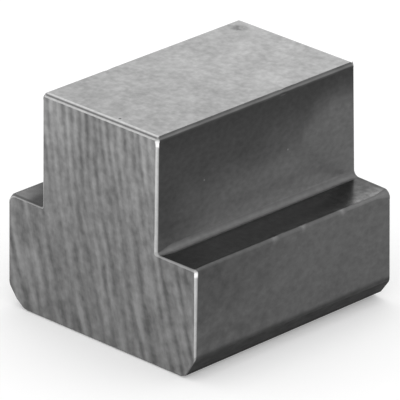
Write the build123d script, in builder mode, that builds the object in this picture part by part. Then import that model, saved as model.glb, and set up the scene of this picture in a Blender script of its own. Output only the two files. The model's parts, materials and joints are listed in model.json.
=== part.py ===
from build123d import *

import os

# T-slot nut blank for a 24 mm machine-table slot: one solid piece of steel T bar, sawn to length.
# Frame: X across the slot, Y along the slot, Z up through the neck, in millimetres.
# The origin is the middle of the underside.

# ---------------------------------------------------------------- driving dimensions
slot_width = 24.0        # width of the table slot that the neck slides in
slot_clearance = 0.4     # the neck is narrower than the slot by this much
base_width = 38.5        # across the base, which runs under the slot's lips
base_height = 17.5       # from the underside up to the shoulders
total_height = 35.5      # from the underside up to the top of the neck
length = 40.0            # along the slot, from sawn end to sawn end

bevel_width = 2.8        # long bottom bevels, measured across the base
bevel_height = 3.2       # the same bevels, measured up the base's sides
bevel_easing = 1.0       # radius where a bevel runs into the side and the underside
root_radius = 1.0        # fillet in the inner corner between the neck and a shoulder
shoulder_radius = 0.9    # rounding along a shoulder's outer edge
neck_top_chamfer = 0.5   # chamfer along the neck's two long top edges
end_chamfer = 0.4        # chamfer that takes the burr off round each sawn end

neck_width = slot_width - slot_clearance


# ---------------------------------------------------------------- the nut blank
with BuildPart() as t_slot_nut:
    # The T bar's section. Only the right half is drawn; the left half mirrors it.
    with BuildSketch(Plane.XZ) as bar_section:
        with BuildLine():
            Polyline(
                (0, 0),
                (base_width / 2 - bevel_width, 0),
                (base_width / 2, bevel_height),
                (base_width / 2, base_height),
                (neck_width / 2, base_height),
                (neck_width / 2, total_height),
                (0, total_height),
            )
            mirror(about=Plane.YZ)
        make_face()
    extrude(amount=length / 2, both=True)

    # Edges that run the length of the bar, grouped by their height from the underside up.
    underside_edges, bevel_edges, step_edges, top_edges = edges().filter_by(Axis.Y).group_by(Axis.Z)

    # At the height of the shoulders, the inner pair are the neck's roots and the outer pair the rims.
    by_reach = step_edges.sort_by(lambda edge: abs(edge.center().X))
    root_edges = by_reach[:2]
    shoulder_edges = by_reach[2:]

    fillet(root_edges, root_radius)
    fillet(shoulder_edges, shoulder_radius)
    fillet(underside_edges + bevel_edges, bevel_easing)
    chamfer(top_edges, neck_top_chamfer)

    # The sawn ends lie square to the slot, and their whole outline has the burr taken off.
    sawn_ends = faces().filter_by(Axis.Y)
    chamfer(sawn_ends.edges(), end_chamfer)

t_slot_nut.part.label = "t_slot_nut"


# ---------------------------------------------------------------- export
os.makedirs("parts", exist_ok=True)
export_step(t_slot_nut.part, "parts/t_slot_nut.step")

# A bar piece of this section with sharp corners is the most that the finished blank can weigh.
full_section = base_width * base_height + neck_width * (total_height - base_height)
share = t_slot_nut.part.volume / (full_section * length)
print(f"t_slot_nut: {t_slot_nut.part.volume:.0f} cubic mm, {share:.3f} of the sharp-cornered bar")
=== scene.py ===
# %% [markdown]
# # Dressing a T-slot nut blank
#
# The part is one block of steel with a T section. In use it slides along the slot of a machine table and
# pulls up under the slot's lips. This one is a blank, so it has no threaded hole yet. There is nothing to
# assemble, and everything that makes it look real is in its surfaces: coarse saw marks on the two cut
# ends, smooth dark sides, a paler ground top and bright edges where a file took the burr off.
#
# The CAD model already has the right size. It is loaded first, and nothing here moves it. The block is
# built again as a fine mesh in exactly the same place, because saw grooves need points to push around.

# %% Load the CAD part
import json
import math

import bmesh
import bpy
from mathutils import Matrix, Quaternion, Vector, noise


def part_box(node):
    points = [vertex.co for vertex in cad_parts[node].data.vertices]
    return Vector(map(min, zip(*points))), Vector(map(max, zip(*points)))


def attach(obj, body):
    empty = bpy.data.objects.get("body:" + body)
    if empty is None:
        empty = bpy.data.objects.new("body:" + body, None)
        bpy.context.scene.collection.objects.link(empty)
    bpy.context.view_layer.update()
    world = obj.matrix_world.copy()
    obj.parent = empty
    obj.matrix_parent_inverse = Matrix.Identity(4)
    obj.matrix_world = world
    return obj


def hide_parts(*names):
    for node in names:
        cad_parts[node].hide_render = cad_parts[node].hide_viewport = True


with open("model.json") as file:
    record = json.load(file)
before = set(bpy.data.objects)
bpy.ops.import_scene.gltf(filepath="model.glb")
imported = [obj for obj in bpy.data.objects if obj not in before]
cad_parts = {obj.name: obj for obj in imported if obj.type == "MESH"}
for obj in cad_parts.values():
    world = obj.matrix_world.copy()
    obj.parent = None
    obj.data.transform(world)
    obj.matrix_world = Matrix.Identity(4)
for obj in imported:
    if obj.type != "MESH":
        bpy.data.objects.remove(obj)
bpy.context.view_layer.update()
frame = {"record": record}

MM = 0.001

# %% [markdown]
# ## Reading the sizes off the part
#
# A size that is typed in twice will one day disagree with itself. The overall sizes therefore come from
# the CAD node's own box, and the two that a box can't tell, the neck's width and the height of the
# shoulders, come from the places of its mounts.

# %% The main sizes, in millimetres
low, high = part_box("t_slot_nut")


def mount_place(name):
    """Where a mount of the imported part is, in millimetres."""
    found = next(m for m in frame["record"]["mounts"] if m["name"] == name)
    return [c / MM for c in found["pos_m"]]


HALF_BASE = high.x / MM
HALF_LENGTH = high.y / MM
TOP = high.z / MM
HALF_NECK = mount_place("right_neck_side")[0]
SHOULDER = mount_place("right_shoulder")[2]
print(f"base {2 * HALF_BASE:.1f}, neck {2 * HALF_NECK:.1f}, shoulders at {SHOULDER:.1f}, top at {TOP:.1f}")

# %% [markdown]
# ## The section, drawn as straight lines and rounded corners
#
# The bar's outline is a chain of straight lines with a radius at each corner between two of them. A
# Bevel modifier could round a plain T, but it would give each edge one radius from end to end. On the
# real bar the rims grow rounder or sharper near the ends, and the root on the right climbs by a hair
# towards the back. So each corner has a place and a radius of its own, and both may change on the way.
#
# The long bottom bevels were ground by hand, so they aren't alike: the left one is broad and soft, and
# the right one has a knee, from two strokes of the grinder at different angles. The knee climbs towards
# the back. The long edges of the top have a small chamfer with a lip above and a foot below, both painted
# dark as painted shade.

# %% Corners of the bar's outline
# Radius at the front end, the run over which it changes, radius in the middle, run, radius at the back.
RIM_RADII = {"right": (0.35, 2.5, 0.50, 3.0, 1.15), "left": (1.45, 0.9, 0.75, 1.0, 0.75)}
ROOT_RADII = (0.45, 2.5, 1.00, 1.0, 1.00)
ROOT_RISE = {"right": 0.18, "left": 0.0}
# (x, z, radius) of each bevel's three corners, first at the front end and then at the back. Here x is
# measured in from the base's side, and z up from the underside.
BEVELS = {
    "right": [
        ((3.20, 0.00, 0.3), (3.80, 0.00, 0.3)),
        ((2.00, 0.50, 0.4), (1.74, 1.00, 0.4)),
        ((0.00, 3.60, 1.3), (0.00, 3.30, 1.3)),
    ],
    "left": [
        ((3.45, 0.00, 1.4), (3.00, 0.00, 1.4)),
        ((1.60, 1.38, 1.4), (1.40, 1.30, 1.4)),
        ((0.00, 3.45, 1.6), (0.00, 3.10, 1.6)),
    ],
}
# (x, z) of the top chamfer's four corners, measured in from the neck's side and down from the top.
CHAMFER = {
    "right": [(0.0, 0.74), (0.08, 0.47), (0.21, 0.15), (0.37, 0.0)],
    "left": [(0.0, 0.70), (0.10, 0.45), (0.28, 0.14), (0.48, 0.0)],
}
CHAMFER_RADIUS = 0.06
print("rim radii in the middle:", {side: radii[2] for side, radii in RIM_RADII.items()})

# %% [markdown]
# Each half is worked out by the same function, as if it were the right one. The left half is then turned
# over and read backwards, so that the loop of corners runs on in one direction.

# %% Corners at any place along the bar
def radius_at(radii, share):
    """A corner's radius at a share of the way to the back.
    The radii at the two ends give way to the middle one over their runs.
    """
    at_front, front_run, middle, back_run, at_back = radii
    from_front = min(share * 2 * HALF_LENGTH / front_run, 1.0)
    from_back = min((1 - share) * 2 * HALF_LENGTH / back_run, 1.0)
    return middle + (at_front - middle) * (1 - from_front) + (at_back - middle) * (1 - from_back)


def half_corners(side, share):
    """(x, z, radius) of one half's corners, from the underside up, at a share of the way to the back."""
    corners = []
    for front, back in BEVELS[side]:
        x, z, radius = [f + (b - f) * share for f, b in zip(front, back)]
        corners.append((HALF_BASE - x, z, radius))
    corners.append((HALF_BASE, SHOULDER, radius_at(RIM_RADII[side], share)))
    corners.append((HALF_NECK, SHOULDER + ROOT_RISE[side] * share, radius_at(ROOT_RADII, share)))
    corners += [(HALF_NECK - x, TOP - z, CHAMFER_RADIUS) for x, z in CHAMFER[side]]
    return corners


def bar_corners(share):
    """The whole loop of corners, counter-clockwise as the front end shows it."""
    right = half_corners("right", share)
    left = [(-x, z, radius) for x, z, radius in reversed(half_corners("left", share))]
    return right + left


RIGHT_LINES = [
    "bevel foot",
    "bevel",
    "base side",
    "shoulder",
    "neck side",
    "chamfer foot",
    "chamfer",
    "chamfer lip",
]
LINE_NAMES = RIGHT_LINES + ["top"] + RIGHT_LINES[::-1] + ["underside"]
print(len(bar_corners(0)), "corners,", len(LINE_NAMES), "lines between them")

# %% [markdown]
# ## Where the burr was filed off
#
# A saw leaves a sharp burr round each cut end, and a few strokes of a file take it off. The strokes are
# heaviest on the edges that a hand reaches first and fade to nearly nothing in the root beside the neck.
# So each line of the outline has two widths, one at each of its ends, by which it moves inwards at the
# sawn end. It also has two reaches, which are how far the filed strip runs along the bar. The top was
# done with a flatter stroke. A Bevel modifier's one width would look like a machine's work instead.

# %% Widths and reach of the filed strips, in millimetres
# Line: width at its lower or outer end and at its upper or inner end, then the two reaches.
FILED_BACK = {
    "underside": (0.14, 0.14, 0.20, 0.20),
    "bevel foot": (0.10, 0.10, 0.20, 0.20),
    "bevel": (0.10, 0.10, 0.20, 0.20),
    "base side": (0.25, 0.43, 0.20, 0.36),
    "shoulder": (0.03, 0.03, 0.08, 0.08),
    "neck side": (0.07, 0.36, 0.07, 0.36),
    "chamfer foot": (0.30, 0.30, 0.40, 0.40),
    "chamfer": (0.32, 0.32, 0.55, 0.55),
    "chamfer lip": (0.32, 0.32, 0.60, 0.60),
    "top": (0.32, 0.32, 0.65, 0.65),
}
FILED_FRONT = dict(FILED_BACK)
FILED_FRONT["underside"] = (0.31, 0.31, 0.33, 0.33)
FILED_FRONT["chamfer foot"] = (0.42, 0.42, 0.50, 0.50)
FILED_FRONT["chamfer"] = (0.44, 0.44, 0.60, 0.60)
FILED_FRONT["chamfer lip"] = (0.48, 0.48, 0.75, 0.75)
FILED_FRONT["top"] = (0.50, 0.50, 0.85, 0.85)
FILED_RIGHT = dict(FILED_FRONT)
FILED_RIGHT["base side"] = (0.24, 0.16, 0.30, 0.66)
FILED_RIGHT["shoulder"] = (0.34, 0.26, 0.26, 0.24)
FILED_RIGHT["neck side"] = (0.74, 0.34, 0.06, 0.37)
FILED_LEFT = dict(FILED_FRONT)
FILED_LEFT["base side"] = (0.18, 0.46, 0.20, 0.40)
FILED_LEFT["shoulder"] = (0.12, 0.14, 0.24, 0.24)
FILED_LEFT["neck side"] = (0.16, 0.44, 0.10, 0.40)
print("the widest filed strip takes off", max(max(row[:2]) for row in FILED_RIGHT.values()), "mm")

# %% [markdown]
# ## The outline after filing
#
# Filing moves each line of the outline inwards by its own width, and the new corners are where the moved
# lines meet. Scaling the outline down would be easier, but it would take the same share off everywhere,
# and a file doesn't. What the file takes off an outer corner comes off its radius too.

# %% Moving the lines inwards
MIN_RADIUS = 0.03


def filed_line(index, share):
    """((width, reach) at a line's start, the same at its end).
    The loop runs up the right side and down the left one.
    """
    goes_up = index < LINE_NAMES.index("top")
    front = FILED_RIGHT if goes_up else FILED_LEFT
    table = front if share < 0.5 else FILED_BACK
    low_width, high_width, low_reach, high_reach = table[LINE_NAMES[index]]
    lower, upper = (low_width, low_reach), (high_width, high_reach)
    return (lower, upper) if goes_up else (upper, lower)


def moved_corners(share, inset):
    """Corners of the outline after every line has moved inwards by inset times its filed widths."""
    corners = bar_corners(share)
    count = len(corners)
    lines = []
    for i in range(count):
        start = Vector(corners[i][:2])
        end = Vector(corners[(i + 1) % count][:2])
        along = (end - start).normalized()
        inward = Vector((-along.y, along.x))
        at_start, at_end = filed_line(i, share)
        moved_start = start + inward * at_start[0] * inset
        moved_end = end + inward * at_end[0] * inset
        lines.append((moved_start, (moved_end - moved_start).normalized()))
    moved = []
    for i in range(count):
        (a, u), (b, v) = lines[i - 1], lines[i]
        turn = u.x * v.y - u.y * v.x
        gap = b - a
        point = a + u * ((gap.x * v.y - gap.y * v.x) / turn)
        filed = inset * (filed_line(i - 1, share)[1][0] + filed_line(i, share)[0][0]) / 2
        radius = corners[i][2] - (filed if turn > 0 else 0.0)
        moved.append((point, max(radius, MIN_RADIUS)))
    return moved


print("radii at the filed front end:", [round(radius, 2) for _, radius in moved_corners(0, 1)])

# %% [markdown]
# ## Points round the outline
#
# Each corner becomes a short arc of points. Blender smooths a face's shading with its neighbours', so an
# arc that meets a wide flat would make the whole flat look bent. A guard point close to each end of the
# arc keeps the bend within a thin strip. Every section has the same number of points in the same order,
# so that one section can be joined to the next.

# %% One section
STEPS = 4
GUARD = 0.1
CHAMFER_GUARD = 0.02


def guard_width(index):
    """Width of the thin strip beside an arc. The chamfer's short lines have less room for it."""
    short = LINE_NAMES[index].startswith("chamfer")
    return CHAMFER_GUARD if short else GUARD


def section(share, inset):
    """The rounded outline as a list of points, always the same number of them in the same order.
    Each corner has a guard point, the points of its arc and a second guard point.
    """
    corners = moved_corners(share, inset)
    points = []
    for i, (corner, radius) in enumerate(corners):
        before = (corners[i - 1][0] - corner).normalized()
        after = (corners[(i + 1) % len(corners)][0] - corner).normalized()
        half_angle = before.angle(after) / 2
        middle = corner + (before + after).normalized() * (radius / math.sin(half_angle))
        cut = radius / math.tan(half_angle)
        first = corner + before * cut - middle
        last = corner + after * cut - middle
        points.append(corner + before * (cut + guard_width(i - 1)))
        for step in range(STEPS + 1):
            arm = first.lerp(last, step / STEPS).normalized() * radius
            points.append(middle + arm)
        points.append(corner + after * (cut + guard_width(i)))
    return points


print("one section has", len(section(0, 0)), "points")

# %% [markdown]
# ## How bare the steel is
#
# A rolled bar has a dark skin. Where it was filed or rubbed, bare steel shines through, so one number
# for each point, from 0 for the skin to 1 for bare metal, says most of what the finishes need. The same
# number also carries some painted highlights. It is stored in the mesh as it is built. Painting it by
# hand afterwards would do for one block, but not for the next size. The filed strip across the top's
# front edge is bright only along its two borders and dull in the middle: painted highlights on its two
# borders and painted shade between them.

# %% Bareness of the filed strips
BARE = {  # line: bareness at its lower or outer end and at its upper or inner end
    "underside": (0.05, 0.05),
    "bevel foot": (0.05, 0.05),
    "bevel": (0.05, 0.10),
    "base side": (0.62, 0.80),
    "shoulder": (0.50, 0.42),
    "neck side": (0.68, 0.86),
    "chamfer foot": (0.30, 0.30),
    "chamfer": (0.30, 0.30),
    "chamfer lip": (0.40, 0.60),
    "top": (1.00, 1.00),
}
# Across the top, the third column runs high, low, high: painted highlights on the strip's two borders and
# painted shade between them.
STROKE = [  # (share of the reach, inset, bareness across the top, bareness elsewhere)
    (0.00, 1.00, 0.80, 1.00),
    (0.05, 0.90, 0.85, 1.00),
    (0.14, 0.80, 0.85, 1.00),
    (0.28, 0.66, 0.80, 1.00),
    (0.36, 0.59, 0.16, 1.00),
    (0.58, 0.38, 0.16, 0.85),
    (0.72, 0.24, 0.95, 0.65),
    (0.86, 0.10, 1.00, 0.40),
    (0.95, 0.03, 1.00, 0.25),
    (1.00, 0.00, 0.90, 0.15),
    (1.08, 0.00, 0.10, 0.00),
]
print("a filed strip is", len(STROKE), "rows of points wide")

# %% [markdown]
# The long rims are a little bare too, from bars rubbing against each other in the rack, and they carry a
# painted highlight along them as well. The roots beside the neck get a painted highlight only. The middle
# of each arc has the most of it, and the shoulders' rims get more near the back.

# %% Bareness and painted highlights of one point
RIM, ROOT = 3, 4  # which corner each is, counted from the underside up
# The rims get wear and a painted highlight, the roots a painted highlight only.
RIM_RUB_AND_SHEEN = 0.04
ROOT_SHEEN = 0.06
RIM_RUB_AND_SHEEN_BEHIND = 0.07  # what the rims have on top of RIM_RUB_AND_SHEEN near the back
WORN_FROM, WORN_RUN = 8.0, 5.0  # where that begins, and how long it takes to come to its full amount
PER_CORNER = STEPS + 3


def rub_and_sheen(corner, step, place):
    """Bareness and painted highlight of a point on a long rounded corner, at a place along the bar."""
    kind = min(corner, 2 * len(RIGHT_LINES) + 1 - corner)
    hump = math.sin(math.pi * min(max((step - 1) / STEPS, 0.0), 1.0))
    behind = min(max((place - WORN_FROM) / WORN_RUN, 0.0), 1.0)
    if kind == RIM:
        return (RIM_RUB_AND_SHEEN + RIM_RUB_AND_SHEEN_BEHIND * behind) * hump
    if kind == ROOT:
        return ROOT_SHEEN * hump
    return 0.0


def filed_bare_and_sheen(corner, step, across_top, elsewhere):
    """Bareness of a point in a filed strip, with the painted highlight and shade across the top.
    A guard point has the bareness of its own line, and a point of an arc the mean of both lines.
    """
    goes_up = corner <= LINE_NAMES.index("top")
    before, after = LINE_NAMES[corner - 1], LINE_NAMES[corner]
    values = []
    if step < STEPS + 2:
        values.append(BARE[before][1 if goes_up else 0] * (across_top if before == "top" else elsewhere))
    if step > 0:
        values.append(BARE[after][0 if goes_up else 1] * (across_top if after == "top" else elsewhere))
    return sum(values) / len(values)


print("corner rubbing:", [round(rub_and_sheen(c, 1 + STEPS // 2, 0), 2) for c in range(len(LINE_NAMES))])

# %% [markdown]
# ## From sections to a closed block
#
# The sections are strung along the bar like slices. Near each end they come close together and follow
# the filed strip. In between they are half a millimetre apart, so that a knock on an edge can show. An
# extruded outline would be simpler, but its corners couldn't change on the way. Each strip of faces gets
# the finish of the line it belongs to while it is made, because that is when it is known.

# %% Finishes, and which line has which
FINISHES = [
    "sawn_end",
    "rolled_side",
    "shoulder_face",
    "ground_top",
    "filed_edge",
    "chamfer_edge",
    "black_bevel",
]
FINISH_OF_LINE = {name: "rolled_side" for name in LINE_NAMES}
FINISH_OF_LINE["shoulder"] = "shoulder_face"
FINISH_OF_LINE["bevel"] = "black_bevel"
FINISH_OF_LINE["bevel foot"] = "black_bevel"
FINISH_OF_LINE["top"] = "ground_top"
for name in ("chamfer foot", "chamfer", "chamfer lip"):
    FINISH_OF_LINE[name] = "chamfer_edge"


def line_of_point(index):
    """The line whose finish the strip before a section's point has. An arc goes with the darker line."""
    corner, step = divmod(index, PER_CORNER)
    before, after = LINE_NAMES[corner - 1], LINE_NAMES[corner]
    if step <= 1:
        return before
    if step == STEPS + 2:
        return after
    if "bevel" in (before, after) and "base side" in (before, after):
        upper_half = step > 1 + STEPS / 2 if after == "base side" else step <= 1 + STEPS / 2
        return "base side" if upper_half else "bevel"
    return before if after in ("shoulder", "top") else after


print("finish of each line:", FINISH_OF_LINE)

# %% [markdown]
# A filed strip is less than a millimetre wide and bends over within that, so its sections stand close
# together. Between the two strips the bar changes slowly, and one section every half millimetre is
# enough to carry the waves and the knocks.

# %% Where the sections stand
SECTION_GAP = 0.5
FILED_ZONE = 1.0


def stations():
    """(place from the middle, stroke row or None) of every section, from the front end to the back."""
    front = [(-HALF_LENGTH, row) for row in STROKE]
    back = [(HALF_LENGTH, row) for row in reversed(STROKE)]
    inner = HALF_LENGTH - FILED_ZONE
    count = round(2 * inner / SECTION_GAP)
    middle = [(-inner + 2 * inner * i / count, None) for i in range(count + 1)]
    return front + middle + back


print(len(stations()), "sections, of which", 2 * len(STROKE), "are in the filed strips")

# %% [markdown]
# A ring of points is made for each section, and faces join each ring to the next. The first ring and the
# last are each closed with one many-sided face, which makes the block a sealed solid.

# %% The closed block
def reach_at(corner, step, share):
    """How far a filed strip runs along the bar at a point of the outline, smoothed round each corner."""
    before = filed_line(corner - 1, share)[1][1]
    after = filed_line(corner, share)[0][1]
    return before + (after - before) * (step + 0.5) / PER_CORNER


def add_section(block, bare_and_sheen_layer, place, row):
    """One ring of points. A stroke row pulls them in and spreads them along the bar."""
    share = (place + HALF_LENGTH) / (2 * HALF_LENGTH)
    inset = row[1] if row else 0.0
    ring = []
    for i, point in enumerate(section(share, inset)):
        corner, step = divmod(i, PER_CORNER)
        y = place
        bare_and_sheen = rub_and_sheen(corner, step, place)
        if row:
            y -= math.copysign(row[0] * reach_at(corner, step, share), place)
            bare_and_sheen = max(bare_and_sheen, filed_bare_and_sheen(corner, step, row[2], row[3]))
        vert = block.verts.new((point.x * MM, y * MM, point.y * MM))
        vert[bare_and_sheen_layer] = bare_and_sheen
        ring.append(vert)
    return ring


def make_block():
    """The plain closed block, as a bmesh."""
    block = bmesh.new()
    bare_and_sheen_layer = block.verts.layers.float.new("bare_and_sheen")
    rows = stations()
    rings = [add_section(block, bare_and_sheen_layer, place, row) for place, row in rows]
    for k in range(len(rings) - 1):
        near, far = rings[k], rings[k + 1]
        filed = rows[k][1] and rows[k + 1][1] and min(rows[k][1][0], rows[k + 1][1][0]) < 1.0
        for i in range(len(near)):
            face = block.faces.new((near[i - 1], near[i], far[i], far[i - 1]))
            finish = "filed_edge" if filed else FINISH_OF_LINE[line_of_point(i)]
            face.material_index = FINISHES.index(finish)
    for cap in (list(reversed(rings[0])), rings[-1]):
        block.faces.new(cap).material_index = FINISHES.index("sawn_end")
    bmesh.ops.recalc_face_normals(block, faces=block.faces)
    return block


block = make_block()
print(len(block.verts), "points in", len(stations()), "sections")

# %% [markdown]
# ## Cutting the flats into a fine grid
#
# The end faces have no points inside them yet, so there is nothing to push a groove into. Slicing the
# whole block with upright and level planes puts points everywhere at once, and the side faces get the
# same slices, so the mesh stays closed. A Subdivision or Remesh modifier would round the sharp corners
# off. The saw marks run nearly upright, so the upright planes stand closer together than the level ones.

# %% Slicing
UPRIGHT_GAP = 0.25
LEVEL_GAP = 0.5
OFF_GRID = 0.037  # the share of a gap by which the planes stand off, to miss the points already there
SAME_PLACE = 1e-7  # points closer than this, in metres, count as being in one place


def slice_block(bm, axis, start, end, gap):
    """Cuts bm by planes square to an axis, gap apart, between start and end."""
    count = int((end - start) / gap)
    normal = [1.0 if i == axis else 0.0 for i in range(3)]
    for i in range(1, count):
        place = [0.0, 0.0, 0.0]
        place[axis] = (start + (end - start) * (i + OFF_GRID) / count) * MM
        everything = bm.verts[:] + bm.edges[:] + bm.faces[:]
        bmesh.ops.bisect_plane(bm, geom=everything, dist=SAME_PLACE, plane_co=place, plane_no=normal)


slice_block(block, 0, -HALF_BASE, HALF_BASE, UPRIGHT_GAP)
slice_block(block, 2, 0.0, TOP, LEVEL_GAP)
print(len(block.verts), "points after slicing")

# %% [markdown]
# ## Saw marks
#
# A cold saw's disc leaves marks that are arcs of the blade's own circle. The blade is many times wider
# than the bar, so only a slightly curved stretch of each arc shows. Distance from the blade's centre says
# which mark a point is on, and distance round the circle says how far along that mark it is. Noise that
# changes quickly across the marks and slowly along them looks sawn, where plain noise would look like
# mud. The teeth bite harder as the cut goes down, so the marks are wider and deeper towards the bottom,
# most of all at the right. A little above the middle the cut ran calmer for a while.
#
# A picture of saw marks could be laid on the flat end, but it wouldn't change the mesh, and the marks
# have to be there for anyone who looks at the bare shape.

# %% How high the steel stands at each point of a cut
BLADE_RADIUS = 200.0
BLADE_CENTRE = (BLADE_RADIUS, TOP + 21.5)
PITCH_ABOVE, PITCH_BELOW = 1.55, 2.6  # from one mark to the next, near the top and near the bottom
CALM_HEIGHT, CALM_REACH = 22.0, 8.0  # where the calm stretch is, and how far it goes up and down


def blade_place(x, z):
    """(across the marks, along the marks) of a point on a sawn end, in millimetres."""
    across = math.hypot(BLADE_CENTRE[0] - x, BLADE_CENTRE[1] - z) - BLADE_RADIUS
    along = math.atan2(BLADE_CENTRE[1] - z, BLADE_CENTRE[0] - x) * BLADE_RADIUS
    return across, along


def marks(across, along, width, length, seed):
    """Noise stretched along the saw marks, from about -1 to 1."""
    return noise.noise((across / width, along / length, seed))


def ripple(across, along, pitch, seed):
    """Marks at nearly equal steps, one for each turn of the blade, that fade in and out."""
    drift = marks(across, along, 3.5, 14.0, seed)
    strength = 0.75 + 0.7 * marks(across, along, 3.0, 12.0, seed + 5.0)
    return math.sin(2 * math.pi * across / pitch + 3.5 * drift) * max(strength, 0.0)


def saw_height(x, z, seed):
    """0 at the bottom of the deepest groove and 1 on the highest ridge."""
    across, along = blade_place(x, z)
    across += 0.25 * marks(across, along, 5.0, 5.0, seed + 3.0)
    low = min(max(1.15 - 1.3 * z / TOP, 0.0), 1.0)
    steps = ripple(across, along, PITCH_ABOVE, seed) * (1 - low)
    steps += ripple(across, along, PITCH_BELOW, seed + 31.0) * low
    broken = marks(across, along, 0.85, 6.0, seed + 7.0)
    slow = marks(across, along, 2.4, 10.0, seed + 17.0)
    calm = max(1 - abs(z - CALM_HEIGHT) / CALM_REACH, 0.0)
    bite = 0.86 - 0.2 * calm + 0.22 * low * (1 + x / HALF_BASE)
    height = 0.5 + bite * (0.28 * steps + 0.29 * broken + 0.22 * slow)
    return min(max(height, 0.0), 1.0)


level_line = [saw_height(x / 10, SHOULDER - 2.5, 1.0) for x in range(-180, 181)]
print(f"saw height along one level line: {min(level_line):.2f} to {max(level_line):.2f}")

# %% [markdown]
# ## Pressing the marks in
#
# Both ends get marks of the same kind, from different seeds. The height goes into the mesh as a layer of
# its own, and so do the two blade coordinates. The material can then add marks that are finer than the
# mesh, and they follow the same arcs.

# %% Press the marks into both ends
GROOVE_DEPTH = 0.06
height_layer = block.verts.layers.float.new("saw_height")
across_layer = block.verts.layers.float.new("saw_across")
along_layer = block.verts.layers.float.new("saw_along")
END_SEEDS = {-1: 1.0, 1: 23.0}
marked = 0
for vert in block.verts:
    side = math.copysign(1, vert.co.y)
    x = vert.co.x / MM * -side
    z = vert.co.z / MM
    vert[across_layer], vert[along_layer] = blade_place(x, z)
    vert[height_layer] = 0.5
    if HALF_LENGTH * MM - abs(vert.co.y) < SAME_PLACE:
        height = saw_height(x, z, END_SEEDS[side])
        vert[height_layer] = height
        vert.co.y -= side * GROOVE_DEPTH * MM * (1 - height)
        marked += 1
print(marked, "points lie on the sawn ends")

# %% [markdown]
# ## Sides that aren't perfectly flat
#
# A smooth metal face shows every reflection, and a mathematically flat one looks like plastic. Pressing
# the faces in by about a hundredth of a millimetre, over areas as wide as a fingertip, bends the
# reflections the way rolled steel does. A bump in the material would bend them too, but would leave the
# outline ruler-straight. A few deeper knocks sit on the edges, where a real block gets them. A knock
# breaks the dark skin, so it is bare as well, and the deeper it is the barer.

# %% Slight waves and a few knocks
WAVE_DEPTH = 0.016
WAVE_WIDTH = 7.0
KNOCK_BARE = 2.0  # bareness for each millimetre of a knock's depth
KNOCKS = [  # place, radius and depth in millimetres
    ((11.5, 5.2, 35.2), 0.9, 0.10),
    ((11.5, 8.2, 35.2), 0.7, 0.08),
    ((18.95, -3.8, 17.4), 0.8, 0.09),
    ((18.95, 2.0, 17.4), 0.8, 0.09),
    ((19.0, 10.0, 17.4), 0.9, 0.09),
    ((-11.5, -7.4, 35.2), 0.8, 0.09),
    ((-19.1, 8.3, 17.3), 0.8, 0.08),
]


def wave_depth(place):
    """How far the waves press a point in, in millimetres."""
    return WAVE_DEPTH * (0.5 + 0.5 * noise.noise(Vector(place) / WAVE_WIDTH))


def knock_depth(place):
    """How far the knocks press a point in, in millimetres."""
    depth = 0.0
    for centre, radius, knock in KNOCKS:
        away = (Vector(place) - Vector(centre)).length / radius
        if away < 1:
            depth += knock * (1 - away * away) ** 2
    return depth


block.normal_update()
knock_points = 0
bare_and_sheen_layer = block.verts.layers.float["bare_and_sheen"]
for vert in block.verts:
    if HALF_LENGTH * MM - abs(vert.co.y) > FILED_ZONE * MM:
        place = [c / MM for c in vert.co]
        knocked = knock_depth(place)
        knock_points += knocked > 0
        vert.co -= vert.normal * (wave_depth(place) + knocked) * MM
        vert[bare_and_sheen_layer] = max(vert[bare_and_sheen_layer], KNOCK_BARE * knocked)
print(knock_points, "points lie in a knock")
print("skin pressed in by up to", WAVE_DEPTH, "mm, and", len(KNOCKS), "knocks made")

# %% [markdown]
# ## From points to an object
#
# The shape is finished, so the bmesh becomes a mesh, and the mesh becomes an object in the scene. Smooth
# shading rounds the look of the small facets, and the guard points keep the flats flat, so the block
# needs no modifier.

# %% Turn the bmesh into an object
for face in block.faces:
    face.smooth = True
counts = [sum(f.material_index == i for f in block.faces) for i in range(len(FINISHES))]
nut_mesh = bpy.data.meshes.new("nut_blank")
block.to_mesh(nut_mesh)
block.free()
nut = bpy.data.objects.new("nut_blank", nut_mesh)
bpy.context.scene.collection.objects.link(nut)
triangles = sum(len(p.vertices) - 2 for p in nut_mesh.polygons)
print("the nut has", triangles, "triangles;", dict(zip(FINISHES, counts)))

# %% [markdown]
# ## Building a material from nodes
#
# All the finishes are bare or dark steel, so they share one pattern: a metal shader whose colour and
# roughness come from noise and from the layers stored in the mesh. An image texture could hold the same
# things, but it has a fixed sharpness and needs the surface to be unfolded first. A few small helpers
# keep the node trees short: one adds a node and sets its sockets, one maps a value from a range to
# another, and the rest do sums with two values.

# %% Node helpers
def new_metal(name):
    """A material with a metal shader, and its tree and shader."""
    material = bpy.data.materials.new(name)
    material.use_nodes = True
    tree = material.node_tree
    shader = tree.nodes["Principled BSDF"]
    shader.inputs["Metallic"].default_value = 1.0
    return material, tree, shader


def give(tree, socket, value):
    """Sets a socket to a number, or links it to another node's output."""
    if isinstance(value, bpy.types.NodeSocket):
        tree.links.new(value, socket)
    else:
        socket.default_value = value


def add(tree, kind, **sockets):
    """A node of a kind, with some of its sockets set. An underscore in a name stands for a space."""
    node = tree.nodes.new(kind)
    for name, value in sockets.items():
        give(tree, node.inputs[name.replace("_", " ")], value)
    return node


def spread(tree, value, from_low, from_high, to_low, to_high, smooth=False):
    """Maps a value from one range to another, and holds it at the ends."""
    node = add(tree, "ShaderNodeMapRange", Value=value, From_Min=from_low, From_Max=from_high)
    node.interpolation_type = "SMOOTHSTEP" if smooth else "LINEAR"
    give(tree, node.inputs["To Min"], to_low)
    give(tree, node.inputs["To Max"], to_high)
    return node.outputs["Result"]


def math_node(tree, operation, first, second):
    """The result of a Math node with two values. The third value is 1, so MULTIPLY_ADD adds 1."""
    node = tree.nodes.new("ShaderNodeMath")
    node.operation = operation
    give(tree, node.inputs[0], first)
    give(tree, node.inputs[1], second)
    node.inputs[2].default_value = 1.0
    return node.outputs[0]


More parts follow.
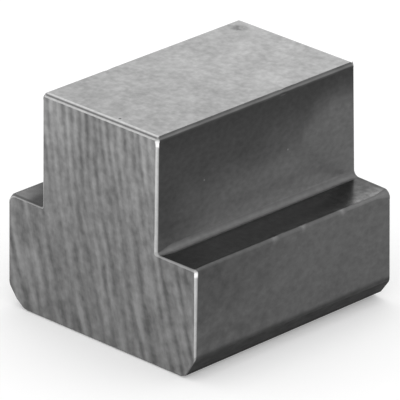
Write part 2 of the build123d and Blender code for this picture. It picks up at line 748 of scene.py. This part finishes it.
def plus(tree, first, second):
    """The two values added."""
    return math_node(tree, "ADD", first, second)


def minus(tree, first, second):
    """The second value taken from the first."""
    return math_node(tree, "SUBTRACT", first, second)


def times(tree, first, second):
    """The two values multiplied."""
    return math_node(tree, "MULTIPLY", first, second)


print("node helpers ready")

# %% [markdown]
# The next helpers say where a point is and what the surface is like there: a stored layer, a place, a
# grain of noise or a soft round spot. Blender measures places in metres and the script thinks in
# millimetres, so over() turns one into the other. Noise runs from 0 to 1 but seldom leaves the middle,
# so its usual range is what gets mapped to the tones that are wanted.

# %% Patterns, paint and bump
NOISE_LOW, NOISE_HIGH = 0.3, 0.7


def layer(tree, name):
    """One of the number layers stored in the mesh."""
    node = tree.nodes.new("ShaderNodeAttribute")
    node.attribute_name = name
    return node.outputs["Fac"]


def place_of(tree):
    """The x, y and z of the surface, in metres, as three values."""
    place = add(tree, "ShaderNodeTexCoord").outputs["Object"]
    return add(tree, "ShaderNodeSeparateXYZ", Vector=place).outputs


def over(tree, place, start, end, to_low, to_high, smooth=False):
    """Maps a place or a distance, from start to end in millimetres, to another range."""
    return spread(tree, place, start * MM, end * MM, to_low, to_high, smooth)


def grain(tree, size, detail=3.0, stretch=(1.0, 1.0, 1.0)):
    """Noise with features about size millimetres across, stretched along the axes."""
    place = add(tree, "ShaderNodeTexCoord").outputs["Object"]
    mapping = add(tree, "ShaderNodeMapping", Vector=place)
    mapping.inputs["Scale"].default_value = [1.0 / (size * MM * s) for s in stretch]
    pattern = add(tree, "ShaderNodeTexNoise", Vector=mapping.outputs["Vector"], Scale=1.0, Detail=detail)
    return pattern.outputs["Fac"]


def from_noise(tree, pattern, to_low, to_high):
    """Maps the usual range of a noise to another range."""
    return spread(tree, pattern, NOISE_LOW, NOISE_HIGH, to_low, to_high)


def blot(tree, centre, radius, edge):
    """1 inside a soft round spot, and 0 outside. The sizes are in millimetres."""
    place = add(tree, "ShaderNodeTexCoord").outputs["Object"]
    away = tree.nodes.new("ShaderNodeVectorMath")
    away.operation = "DISTANCE"
    tree.links.new(place, away.inputs[0])
    away.inputs[1].default_value = [c * MM for c in centre]
    return over(tree, away.outputs["Value"], radius - edge, radius + edge, 1.0, 0.0, smooth=True)


def paint(tree, shader, grey, roughness):
    """Gives the shader a grey colour and a roughness, each from a node or as a number."""
    colour = add(tree, "ShaderNodeCombineColor", Red=grey, Green=grey, Blue=grey)
    tree.links.new(colour.outputs["Color"], shader.inputs["Base Color"])
    give(tree, shader.inputs["Roughness"], roughness)


def roughen(tree, shader, height, depth):
    """Bump for what is too fine for the mesh, with a depth in millimetres."""
    bump = add(tree, "ShaderNodeBump", Height=height, Distance=depth * MM, Strength=1.0)
    tree.links.new(bump.outputs["Normal"], shader.inputs["Normal"])


print("pattern helpers ready")

# %% [markdown]
# ## The sawn ends
#
# Ridges are painted lighter and grooves darker, a painted highlight and painted shade on top of the real
# grooves in the mesh, so the height layer drives both the colour and the roughness. The finest marks come
# from noise laid out in the blade's own coordinates: a few tenths of a millimetre across and up to two
# millimetres long. The tone rises with the height and with the distance from the middle, a painted light
# that is strongest at the neck's upper corners.

# %% Sawn ends
sawn, tree, shader = new_metal("sawn_end")
x, y, z = place_of(tree)
blade = add(tree, "ShaderNodeCombineXYZ", X=layer(tree, "saw_across"), Y=layer(tree, "saw_along"))
scratches = add(tree, "ShaderNodeMapping", Vector=blade.outputs["Vector"])
scratches.inputs["Scale"].default_value = (2.6, 0.6, 1.0)
pattern = add(tree, "ShaderNodeTexNoise", Vector=scratches.outputs["Vector"], Scale=1.0, Detail=3.0)
scratch = pattern.outputs["Fac"]
fine = grain(tree, 1.2, detail=4.0)
detail = plus(tree, from_noise(tree, scratch, -0.08, 0.08), from_noise(tree, fine, -0.20, 0.20))
ridge = plus(tree, layer(tree, "saw_height"), detail)
# Painted light: the end is painted lighter towards the top, and more so away from the middle.
from_middle = math_node(tree, "ABSOLUTE", x, 0.0)
up = over(tree, z, 15.0, 34.0, 0.0, 1.0)
sideways = over(tree, from_middle, 2.0, 11.0, 0.15, 0.46)
lighter = math_node(tree, "MULTIPLY_ADD", up, sideways)
# Painted highlight on the ridges and painted shade in the grooves.
tone = times(tree, spread(tree, ridge, 0.05, 0.95, 0.125, 0.285), lighter)
paint(tree, shader, tone, spread(tree, ridge, 0.1, 0.9, 0.55, 0.42))
roughen(tree, shader, plus(tree, scratch, fine), 0.015)
print("sawn_end has", len(tree.nodes), "nodes")

# %% [markdown]
# ## The rolled sides
#
# The long sides still have the mill's dark skin. On the neck, painted shade comes on top of it: the
# side is painted darkest towards the front, under the top, and paler towards the rear and the foot. The
# darkness follows a slanting line, and noise makes its border cloudy. One material covers the neck and
# the base, because the skin runs on from one to the other. It is put together in four cells.

# %% Rolled sides: the skin and painted shade on the neck
CLIMB_START, CLIMB = -2.0, 0.31  # where the border of the skin starts to climb, and how steeply
rolled, tree, shader = new_metal("rolled_side")
shader.inputs["Metallic"].default_value = 0.5
shader.inputs["Specular IOR Level"].default_value = 0.0
x, y, z = place_of(tree)
cloud = grain(tree, 6.0, detail=4.0)
hazy_y = plus(tree, y, from_noise(tree, cloud, -1.5 * MM, 1.5 * MM))
hazy_z = plus(tree, z, from_noise(tree, cloud, 1.0 * MM, -1.0 * MM))
# Painted shade: dark at the front under the top, paler towards the rear and the foot.
climb = times(tree, math_node(tree, "MAXIMUM", hazy_y, CLIMB_START * MM), CLIMB)
border = minus(tree, hazy_z, climb)
paler_tone = over(tree, hazy_y, -18.5, -7.5, 0.058, 0.104, smooth=True)
paler_tone = times(tree, paler_tone, over(tree, y, -6.0, 18.0, 1.0, 1.20))
dark_tone = over(tree, z, 30.0, 35.0, 0.057, 0.044, smooth=True)
neck_tone = over(tree, border, 22.2, 30.2, paler_tone, dark_tone, smooth=True)
print("rolled_side has", len(tree.nodes), "nodes so far")

# %% [markdown]
# The base's side is painted darker in front, as painted shade, and is more patchy there, and it evens out
# towards the back. Its foot is painted dark too, as painted shade where it turns into the bevel.

# %% Rolled sides: the base
# Painted shade: darker in front, most of all higher up.
front_tone = over(tree, z, 6.0, 15.5, 0.105, 0.078, smooth=True)
base_tone = over(tree, hazy_y, -18.0, 4.0, front_tone, 0.113, smooth=True)
blotch = grain(tree, 2.2, detail=4.0)
patchy = over(tree, y, -16.0, 4.0, 0.16, 0.05)
uneven = math_node(tree, "MULTIPLY_ADD", patchy, from_noise(tree, blotch, -1.0, 1.0))
base_tone = times(tree, base_tone, uneven)
# Painted shade along the foot, where the side turns into the bevel.
base_tone = times(tree, base_tone, over(tree, z, 3.6, 4.4, 0.5, 1.0, smooth=True))
print("rolled_side has", len(tree.nodes), "nodes so far")

# %% [markdown]
# The foot of the neck, just above the root, is painted lighter as a painted highlight. It is strong for
# the first few millimetres, faint for a few more, and stops short of the far end on a slant. The root
# below it is a hollow curve. It is painted paler too, a painted highlight for the light it catches from
# more directions than a flat does.

# %% Rolled sides: the painted highlight on the foot of the neck
SLANT = 1.6
# Painted highlight on the foot of the neck, and below it on the root.
faint_foot_light = over(tree, z, SHOULDER + 3.7, SHOULDER + 8.0, 0.4, 0.0)
foot_light_z = over(tree, z, SHOULDER + 1.0, SHOULDER + 3.7, 1.6, faint_foot_light)
past_end = plus(tree, y, times(tree, minus(tree, z, SHOULDER * MM), SLANT))
foot_light_z = times(tree, foot_light_z, over(tree, past_end, 15.5, 21.5, 1.0, 0.1, smooth=True))
foot_light = plus(tree, foot_light_z, 1.0)
root_low = over(tree, z, SHOULDER, SHOULDER + 0.3, 0.8, 1.0)
root_high = over(tree, z, SHOULDER + 0.3, SHOULDER + 0.65, 0.152, 0.128)
root_tone = times(tree, root_low, root_high)
lifted_z = plus(tree, z, over(tree, y, -19.0, -14.0, 0.3 * MM, 0.0))
neck_with_foot_light = times(tree, neck_tone, foot_light)
above_root = over(tree, lifted_z, SHOULDER + 0.75, SHOULDER + 1.25, root_tone, neck_with_foot_light, smooth=True)
side_tone = over(tree, z, SHOULDER - 0.3, SHOULDER, base_tone, above_root)
print("rolled_side has", len(tree.nodes), "nodes so far")

# %% [markdown]
# Faint flecks break the skin up, bare edges and the painted highlights of the rims and the root shine
# through it, and two specks of dust sit on the neck.

# %% Rolled sides: flecks, bare edges, painted highlights and dust
BARE_AND_SHEEN_TONE = 0.75
DUST = [(HALF_NECK, 6.2, 25.9), (HALF_NECK, -10.7, 26.3)]
fleck = grain(tree, 0.7, detail=5.0, stretch=(1.0, 1.5, 1.0))
tone = times(tree, side_tone, spread(tree, fleck, 0.3, 0.75, 0.88, 1.15))
tone = plus(tree, tone, times(tree, layer(tree, "bare_and_sheen"), BARE_AND_SHEEN_TONE))
for speck in DUST:
    tone = plus(tree, tone, times(tree, blot(tree, speck, 0.12, 0.10), 0.10))
paint(tree, shader, tone, from_noise(tree, cloud, 0.40, 0.32))
roughen(tree, shader, fleck, 0.003)
print("rolled_side has", len(tree.nodes), "nodes")

# %% [markdown]
# ## The bevels
#
# The two long bevels were ground first. They face down towards the floor beside the block, where its
# shadow lies, so they are painted matt and nearly black, and darkest along the foot: painted shade. A
# metal shader would mirror the white floor, so this one isn't metallic at all.

# %% Black bevels
bevel, tree, shader = new_metal("black_bevel")
shader.inputs["Metallic"].default_value = 0.0
shader.inputs["Specular IOR Level"].default_value = 0.1
x, y, z = place_of(tree)
streak = grain(tree, 0.8, detail=4.0, stretch=(1.0, 2.5, 1.0))
# Painted shade: nearly black all over, darkest along the foot.
upper = over(tree, z, 3.0, 3.7, 0.034, 0.046, smooth=True)
tone = over(tree, z, 1.6, 2.7, 0.039, upper)
foot = over(tree, y, -HALF_LENGTH, HALF_LENGTH, 0.5 * MM, 1.0 * MM)
tone = times(tree, tone, over(tree, minus(tree, z, foot), 0.1, 0.6, 0.3, 1.0))
tone = times(tree, tone, from_noise(tree, streak, 0.72, 1.28))
paint(tree, shader, tone, 0.7)
roughen(tree, shader, streak, 0.01)
print("black_bevel has", len(tree.nodes), "nodes")

# %% [markdown]
# ## The shoulders
#
# The right shoulder was rubbed smoother than the sides, so it mirrors the neck. A low roughness does the
# mirroring, so no reflection has to be drawn on it. Its tone carries painted shade and a painted
# highlight: it is painted darker beside the neck and towards the back, and palest along its rim, more so
# towards the back. Its far end is blotchy.

# %% The right shoulder
shoulder, tree, shader = new_metal("shoulder_face")
x, y, z = place_of(tree)
from_neck = minus(tree, math_node(tree, "ABSOLUTE", x, 0.0), HALF_NECK * MM)
# Painted shade beside the neck and towards the back, and a painted highlight along the rim.
right_tone = over(tree, from_neck, 1.0, 6.0, 0.14, 0.20, smooth=True)
right_tone = times(tree, right_tone, over(tree, y, -12.0, 10.0, 1.0, 0.66))
rim_gain = over(tree, y, -4.0, 8.0, 1.2, 1.65)
rim_sheen = over(tree, from_neck, 4.5, 6.8, 1.0, rim_gain, smooth=True)
right_tone = times(tree, right_tone, rim_sheen)
right_tone = times(tree, right_tone, over(tree, y, 19.0, 19.5, 1.0, 0.75))
print("shoulder_face has", len(tree.nodes), "nodes so far")

# %% [markdown]
# The left shoulder is painted dark, as the shadow of the neck, and lighter only towards its front outer
# corner, which lies out of that shadow. A thin dark line is left behind the filed edge, and a spot beside
# the neck is painted darker still, as painted shade.

# %% The left shoulder, and both together
NECK_SHADE_SPOT = (-HALF_NECK - 1.4, -HALF_LENGTH + 2.2, SHOULDER)
mottle = grain(tree, 1.1, detail=4.0)
towards_corner = minus(tree, times(tree, x, -1.0), y)
# Painted shadow of the neck: dark near it, lighter towards the front outer corner.
left_tone = over(tree, towards_corner, 31.5, 37.5, 0.05, 0.22)
from_front = plus(tree, y, HALF_LENGTH * MM)
left_tone = times(tree, left_tone, over(tree, from_front, 0.6, 1.0, 0.35, 1.0, smooth=True))
# Painted shade in a spot beside the neck.
left_tone = times(tree, left_tone, spread(tree, blot(tree, NECK_SHADE_SPOT, 2.5, 0.8), 0.0, 1.0, 1.0, 0.25))
tone = over(tree, x, -1.0, 1.0, left_tone, right_tone)
rough_end = over(tree, y, 8.0, 14.0, 0.12, 0.30)
patches = math_node(tree, "MULTIPLY_ADD", rough_end, spread(tree, mottle, 0.35, 0.65, -1.0, 1.0))
tone = times(tree, tone, patches)
paint(tree, shader, tone, 0.24)
roughen(tree, shader, mottle, 0.001)
print("shoulder_face has", len(tree.nodes), "nodes")

# %% [markdown]
# ## The ground top
#
# The top was ground flat and has no direction left in it, only a soft mottle that is a little paler at
# the back, and two blemishes that the grinder left behind: a pit near the front edge and a smudge in the
# far left corner. The pit is too small to be worth points of its own, so it is only a dark spot.

# %% Ground top
PIT = (2.95, -18.68, TOP)
SMUDGE = (-9.15, 17.15, TOP)
SMUDGE_TAIL = (-10.6, 16.4, TOP)
ground, tree, shader = new_metal("ground_top")
cloud = grain(tree, 5.0, detail=4.0)
mottle = grain(tree, 0.9, detail=4.0)
x, y, z = place_of(tree)
tone = over(tree, y, -8.0, 4.0, 0.447, 0.50, smooth=True)
tone = plus(tree, tone, from_noise(tree, cloud, -0.05, 0.05))
tone = plus(tree, tone, from_noise(tree, mottle, -0.085, 0.085))
tone = minus(tree, tone, times(tree, blot(tree, PIT, 0.20, 0.10), 0.45))
tail = times(tree, blot(tree, SMUDGE_TAIL, 0.8, 0.7), 0.5)
smudged = math_node(tree, "MAXIMUM", blot(tree, SMUDGE, 1.2, 0.9), tail)
smudge = times(tree, smudged, spread(tree, mottle, 0.35, 0.6, 0.24, 0.10))
tone = minus(tree, tone, smudge)
paint(tree, shader, tone, from_noise(tree, mottle, 0.36, 0.46))
roughen(tree, shader, mottle, 0.006)
print("ground_top has", len(tree.nodes), "nodes")

# %% [markdown]
# ## Filed strips
#
# The file leaves fine bright scratches. How bright a strip is comes from the layer of bareness and
# painted highlights, so one material serves every strip, wide or narrow. At the front right, the neck and
# the base each have an upright edge whose top corner carries a painted highlight, a soft bright spot.
# Those two spots are the brightest of all.

# %% Filed strips
NECK_GLINT = (HALF_NECK - 0.2, -HALF_LENGTH + 0.2, TOP - 1.0)
BASE_GLINT = (HALF_BASE - 0.1, -HALF_LENGTH + 0.2, SHOULDER - 0.8)
filed, tree, shader = new_metal("filed_edge")
file_marks = grain(tree, 0.7, detail=3.0)
tone = spread(tree, layer(tree, "bare_and_sheen"), 0.0, 1.0, 0.12, 0.68)
tone = times(tree, tone, from_noise(tree, file_marks, 0.90, 1.10))
# Painted highlights: soft bright spots at the top corners of the two upright edges.
for centre, radius in ((NECK_GLINT, 0.60), (BASE_GLINT, 0.55)):
    tone = math_node(tree, "MAXIMUM", tone, blot(tree, centre, radius, 0.40))
paint(tree, shader, tone, from_noise(tree, file_marks, 0.28, 0.38))
roughen(tree, shader, file_marks, 0.004)
print("filed_edge has", len(tree.nodes), "nodes")

# %% [markdown]
# ## Chamfers of the top
#
# The long chamfers were planed with the bar and not filed afterwards, and they are duller than the filed
# strips. Their tone is painted shade and light: dim along the lip, brighter in the middle and dark at the
# foot, so the tone follows the depth below the top.

# %% Chamfers of the top
chamfered, tree, shader = new_metal("chamfer_edge")
x, y, z = place_of(tree)
down = minus(tree, TOP * MM, z)
# Painted shade on the lip and the foot, lighter in the middle.
lip = over(tree, down, 0.16, 0.3, 0.130, 0.180, smooth=True)
foot = over(tree, down, 0.4, 0.62, 1.0, 0.30, smooth=True)
planed = grain(tree, 1.2, detail=3.0, stretch=(1.0, 3.0, 1.0))
tone = times(tree, times(tree, lip, foot), from_noise(tree, planed, 0.8, 1.2))
paint(tree, shader, tone, 0.35)
print("chamfer_edge has", len(tree.nodes), "nodes")

# %% [markdown]
# ## Giving the finishes to the mesh
#
# Each face already holds the number of its finish. The materials go into the mesh's list in the order of
# that numbering, and the print shows that both agree.

# %% Materials in the mesh's list
for material in (sawn, rolled, shoulder, ground, filed, chamfered, bevel):
    nut_mesh.materials.append(material)
print([m.name for m in nut_mesh.materials] == FINISHES, [m.name for m in nut_mesh.materials])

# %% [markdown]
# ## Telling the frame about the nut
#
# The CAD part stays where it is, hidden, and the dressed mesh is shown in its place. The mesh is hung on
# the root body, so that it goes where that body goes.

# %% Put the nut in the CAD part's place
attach(nut, "root")
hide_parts("t_slot_nut")
print("the dressed nut measures", [round(c / MM, 2) for c in nut.dimensions], "mm")

# %% [markdown]
# ## The floor
#
# The nut stands on a plain white surface that fills the picture from any side. Steel mirrors what is
# round it, so the floor has to be white for the mirrored rays too. A white paint reflects a little less
# light than falls on it, and a faint glow, seen only by the camera and by mirrored and refracted rays,
# makes up the rest. The shadow under the block stays, because the glow is the same everywhere.

# %% Floor
FLOOR_REACH = 3.0
FLOOR_WHITE = 0.82
FLOOR_GLOW = 0.27
floor_mesh = bpy.data.meshes.new("floor")
corners = [(x * FLOOR_REACH, y * FLOOR_REACH, 0) for x, y in ((-1, -1), (1, -1), (1, 1), (-1, 1))]
floor_mesh.from_pydata(corners, [], [(0, 1, 2, 3)])
floor = bpy.data.objects.new("floor", floor_mesh)
bpy.context.scene.collection.objects.link(floor)
floor_paint = bpy.data.materials.new("white_floor")
floor_paint.use_nodes = True
tree = floor_paint.node_tree
shader = tree.nodes["Principled BSDF"]
shader.inputs["Base Color"].default_value = (FLOOR_WHITE, FLOOR_WHITE, FLOOR_WHITE, 1)
shader.inputs["Roughness"].default_value = 0.9
shader.inputs["Specular IOR Level"].default_value = 0.0
shader.inputs["Emission Color"].default_value = (1, 1, 1, 1)
path = tree.nodes.new("ShaderNodeLightPath").outputs
seen = math_node(tree, "MAXIMUM", path["Is Camera Ray"], path["Is Glossy Ray"])
seen = math_node(tree, "MAXIMUM", seen, path["Is Transmission Ray"])
give(tree, shader.inputs["Emission Strength"], times(tree, seen, FLOOR_GLOW))
floor_mesh.materials.append(floor_paint)
print("the floor is", 2 * FLOOR_REACH, "m wide")

# %% [markdown]
# ## Light
#
# Metal shows its surroundings, so most of the light comes from an even white sky. A picture of a real
# studio, wrapped round the part, would give livelier reflections, but would suit one view only. One
# broad softbox behind and above brightens the top, and a small one above the camera puts a spark on the
# corners.

# %% World and softboxes
SKY = 0.9
world = bpy.data.worlds.new("studio")
bpy.context.scene.world = world
world.use_nodes = True
world.node_tree.nodes["Background"].inputs["Color"].default_value = (1, 1, 1, 1)
world.node_tree.nodes["Background"].inputs["Strength"].default_value = SKY


def direction(azimuth, elevation):
    """The unit vector towards a place round the part. Azimuth 0 is in front, and 90 to the right."""
    a, e = math.radians(azimuth), math.radians(elevation)
    return Vector((math.sin(a) * math.cos(e), -math.cos(a) * math.cos(e), math.sin(e)))


def softbox(name, azimuth, elevation, distance, size, radiance):
    """A square lamp that faces the part, a distance away from it in metres.
    Its power follows from its size and from how bright its face looks.
    """
    lamp = bpy.data.lights.new(name, "AREA")
    lamp.size = size
    lamp.energy = radiance * math.pi * size * size
    holder = bpy.data.objects.new(name, lamp)
    bpy.context.scene.collection.objects.link(holder)
    holder.location = direction(azimuth, elevation) * distance
    holder.rotation_euler = direction(azimuth, elevation).to_track_quat("Z", "Y").to_euler()
    return holder


LAMP_DISTANCE = 0.9
softbox("overhead", 225, 75, LAMP_DISTANCE, size=0.45, radiance=0.8)
softbox("front_key", 45, 47, LAMP_DISTANCE, size=0.22, radiance=3.0)

# %% [markdown]
# ## Camera
#
# A long lens from about a metre away keeps the upright edges nearly parallel. A short lens close by would
# spread them. The camera is placed by the direction it looks from, because that is how one thinks of a
# view, and is then tilted by about a tenth of a degree.

# %% Camera
AZIMUTH = 45.276
ELEVATION = 23.590
DISTANCE = 0.96831
LENS = 602.92
ROLL = -0.123
AIM = Vector((0.00006, 0.00006, 0.016265))
camera_data = bpy.data.cameras.new("camera")
camera_data.lens = LENS
camera_data.sensor_width = 36
camera_data.clip_end = 20
camera = bpy.data.objects.new("camera", camera_data)
bpy.context.scene.collection.objects.link(camera)
backwards = direction(AZIMUTH, ELEVATION)
camera.location = AIM + backwards * DISTANCE
camera.rotation_mode = "QUATERNION"
camera.rotation_quaternion = backwards.to_track_quat("Z", "Y") @ Quaternion((0, 0, 1), math.radians(ROLL))
bpy.context.scene.camera = camera
bpy.context.scene.view_settings.view_transform = "Standard"
print("camera at", [round(c, 4) for c in camera.location])
